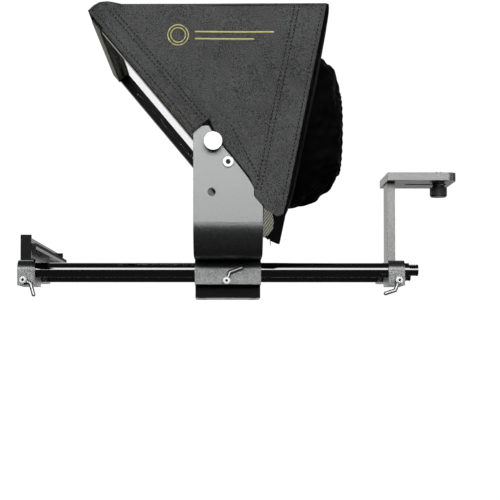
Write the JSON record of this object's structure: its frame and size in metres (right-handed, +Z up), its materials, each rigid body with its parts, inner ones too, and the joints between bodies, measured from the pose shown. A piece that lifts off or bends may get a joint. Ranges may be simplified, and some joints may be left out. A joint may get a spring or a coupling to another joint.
{
  "type": "teleprompter",
  "caption": "Rod-mounted teleprompter: tablet cradle, tilting beam-splitter glass, fabric hood with lens sock, and a camera plate on sliding clamps.",
  "frame": {"origin": "mouth of the tripod socket, at the centre of the base block's underside", "axes": "+X along the rods towards the camera, +Y to the side without levers, +Z up"},
  "size_m": [0.4492, 0.2762, 0.2801],
  "materials": {
    "coat_black": "fine-textured black powder coat",
    "rod_black": "gloss black",
    "coat_grey": "fine-textured grey powder coat",
    "bright_steel": "satin bright",
    "dark_steel": "black oxide",
    "frame_black": "satin black",
    "glass": "clear, half-silvered",
    "tape": "woven hook-and-loop tape",
    "knob_black": "fluted black",
    "foam": "closed-cell foam",
    "hood_cloth": "woven charcoal nylon",
    "sock_cloth": "soft black stretch cloth",
    "elastic": "black elastic"
  },
  "bodies": {
    "base": {"base_block": "frame_black", "base_screws": "dark_steel", "rod_saddle": "coat_black", "bracket_floor": "coat_black", "bracket_arm_near": "coat_black", "bracket_arm_far": "coat_black", "bracket_screws": "dark_steel", "tablet_rear_stop": "coat_black", "tablet_rear_pad": "foam", "rear_stop_screws": "dark_steel"},
    "rods": {"rod_near": "rod_black", "rod_far": "rod_black", "rod_studs": "rod_black"},
    "front_clamp": {"front_clamp_block": "coat_black", "tablet_front_bar": "frame_black", "tablet_front_liner": "foam", "front_bar_screws": "dark_steel"},
    "rear_clamp": {"rear_clamp_block": "coat_black", "upright": "coat_grey", "upright_screws": "dark_steel", "camera_plate": "coat_grey", "plate_screws": "dark_steel"},
    "camera_slider": {"slot_washer": "bright_steel"},
    "camera_knob": {"camera_knob": "knob_black", "camera_screw": "bright_steel"},
    "front_lever": {"front_lever": "bright_steel", "front_lever_screw": "bright_steel"},
    "centre_lever": {"centre_lever": "bright_steel", "centre_lever_screw": "bright_steel"},
    "rear_lever": {"rear_lever": "bright_steel", "rear_lever_screw": "bright_steel"},
    "glass_frame": {"frame_rail_near": "frame_black", "frame_rail_far": "frame_black", "frame_top_bar": "frame_black", "frame_bottom_bar": "frame_black", "beam_splitter_glass": "glass", "corner_screws": "dark_steel", "pivot_screws": "bright_steel", "pivot_washers": "bright_steel", "side_hook_strips": "tape", "top_hook_strip": "tape", "hood_side_near": "hood_cloth", "hood_side_far": "hood_cloth", "hood_top": "hood_cloth", "hood_rear": "hood_cloth", "lens_sock_root": "sock_cloth", "lens_sock": "sock_cloth", "sock_band": "elastic"},
    "lock_knob_near": {"lock_knob_near": "knob_black", "lock_knob_near_face": "bright_steel"},
    "lock_knob_far": {"lock_knob_far": "knob_black", "lock_knob_far_face": "bright_steel"}
  },
  "joints": [
    {"name": "rod_slide", "type": "slide", "parent": "base", "child": "rods", "axis": [1, 0, 0], "range_m": [-0.01, 0.03]},
    {"name": "front_clamp_slide", "type": "slide", "parent": "rods", "child": "front_clamp", "axis": [1, 0, 0], "range_m": [0, 0.11]},
    {"name": "rear_clamp_slide", "type": "slide", "parent": "rods", "child": "rear_clamp", "axis": [1, 0, 0], "range_m": [-0.02, 0.004]},
    {"name": "camera_screw_slide", "type": "slide", "parent": "rear_clamp", "child": "camera_slider", "axis": [1, 0, 0], "range_m": [-0.032, 0.004]},
    {"name": "camera_knob_spin", "type": "hinge", "parent": "camera_slider", "child": "camera_knob", "pos_m": [0.223, 0, 0.1138], "axis": [0, 0, 1], "continuous": true},
    {"name": "glass_tilt", "type": "hinge", "parent": "base", "child": "glass_frame", "pos_m": [0, 0, 0.1264], "axis": [0, 1, 0], "range_deg": [-10, 10]},
    {"name": "lock_near_spin", "type": "hinge", "parent": "glass_frame", "child": "lock_knob_near", "pos_m": [-0.0144, -0.132, 0.145], "axis": [0, -1, 0], "continuous": true},
    {"name": "lock_far_spin", "type": "hinge", "parent": "glass_frame", "child": "lock_knob_far", "pos_m": [-0.0144, 0.132, 0.145], "axis": [0, 1, 0], "continuous": true},
    {"name": "front_lever_turn", "type": "hinge", "parent": "front_clamp", "child": "front_lever", "pos_m": [-0.2056, -0.0609, 0.0166], "axis": [0, -1, 0], "range_deg": [-45, 90]},
    {"name": "centre_lever_turn", "type": "hinge", "parent": "base", "child": "centre_lever", "pos_m": [-0.0013, -0.0609, 0.0159], "axis": [0, -1, 0], "range_deg": [-90, 25]},
    {"name": "rear_lever_turn", "type": "hinge", "parent": "rear_clamp", "child": "rear_lever", "pos_m": [0.1726, -0.0609, 0.0165], "axis": [0, -1, 0], "range_deg": [-45, 90]}
  ]
}
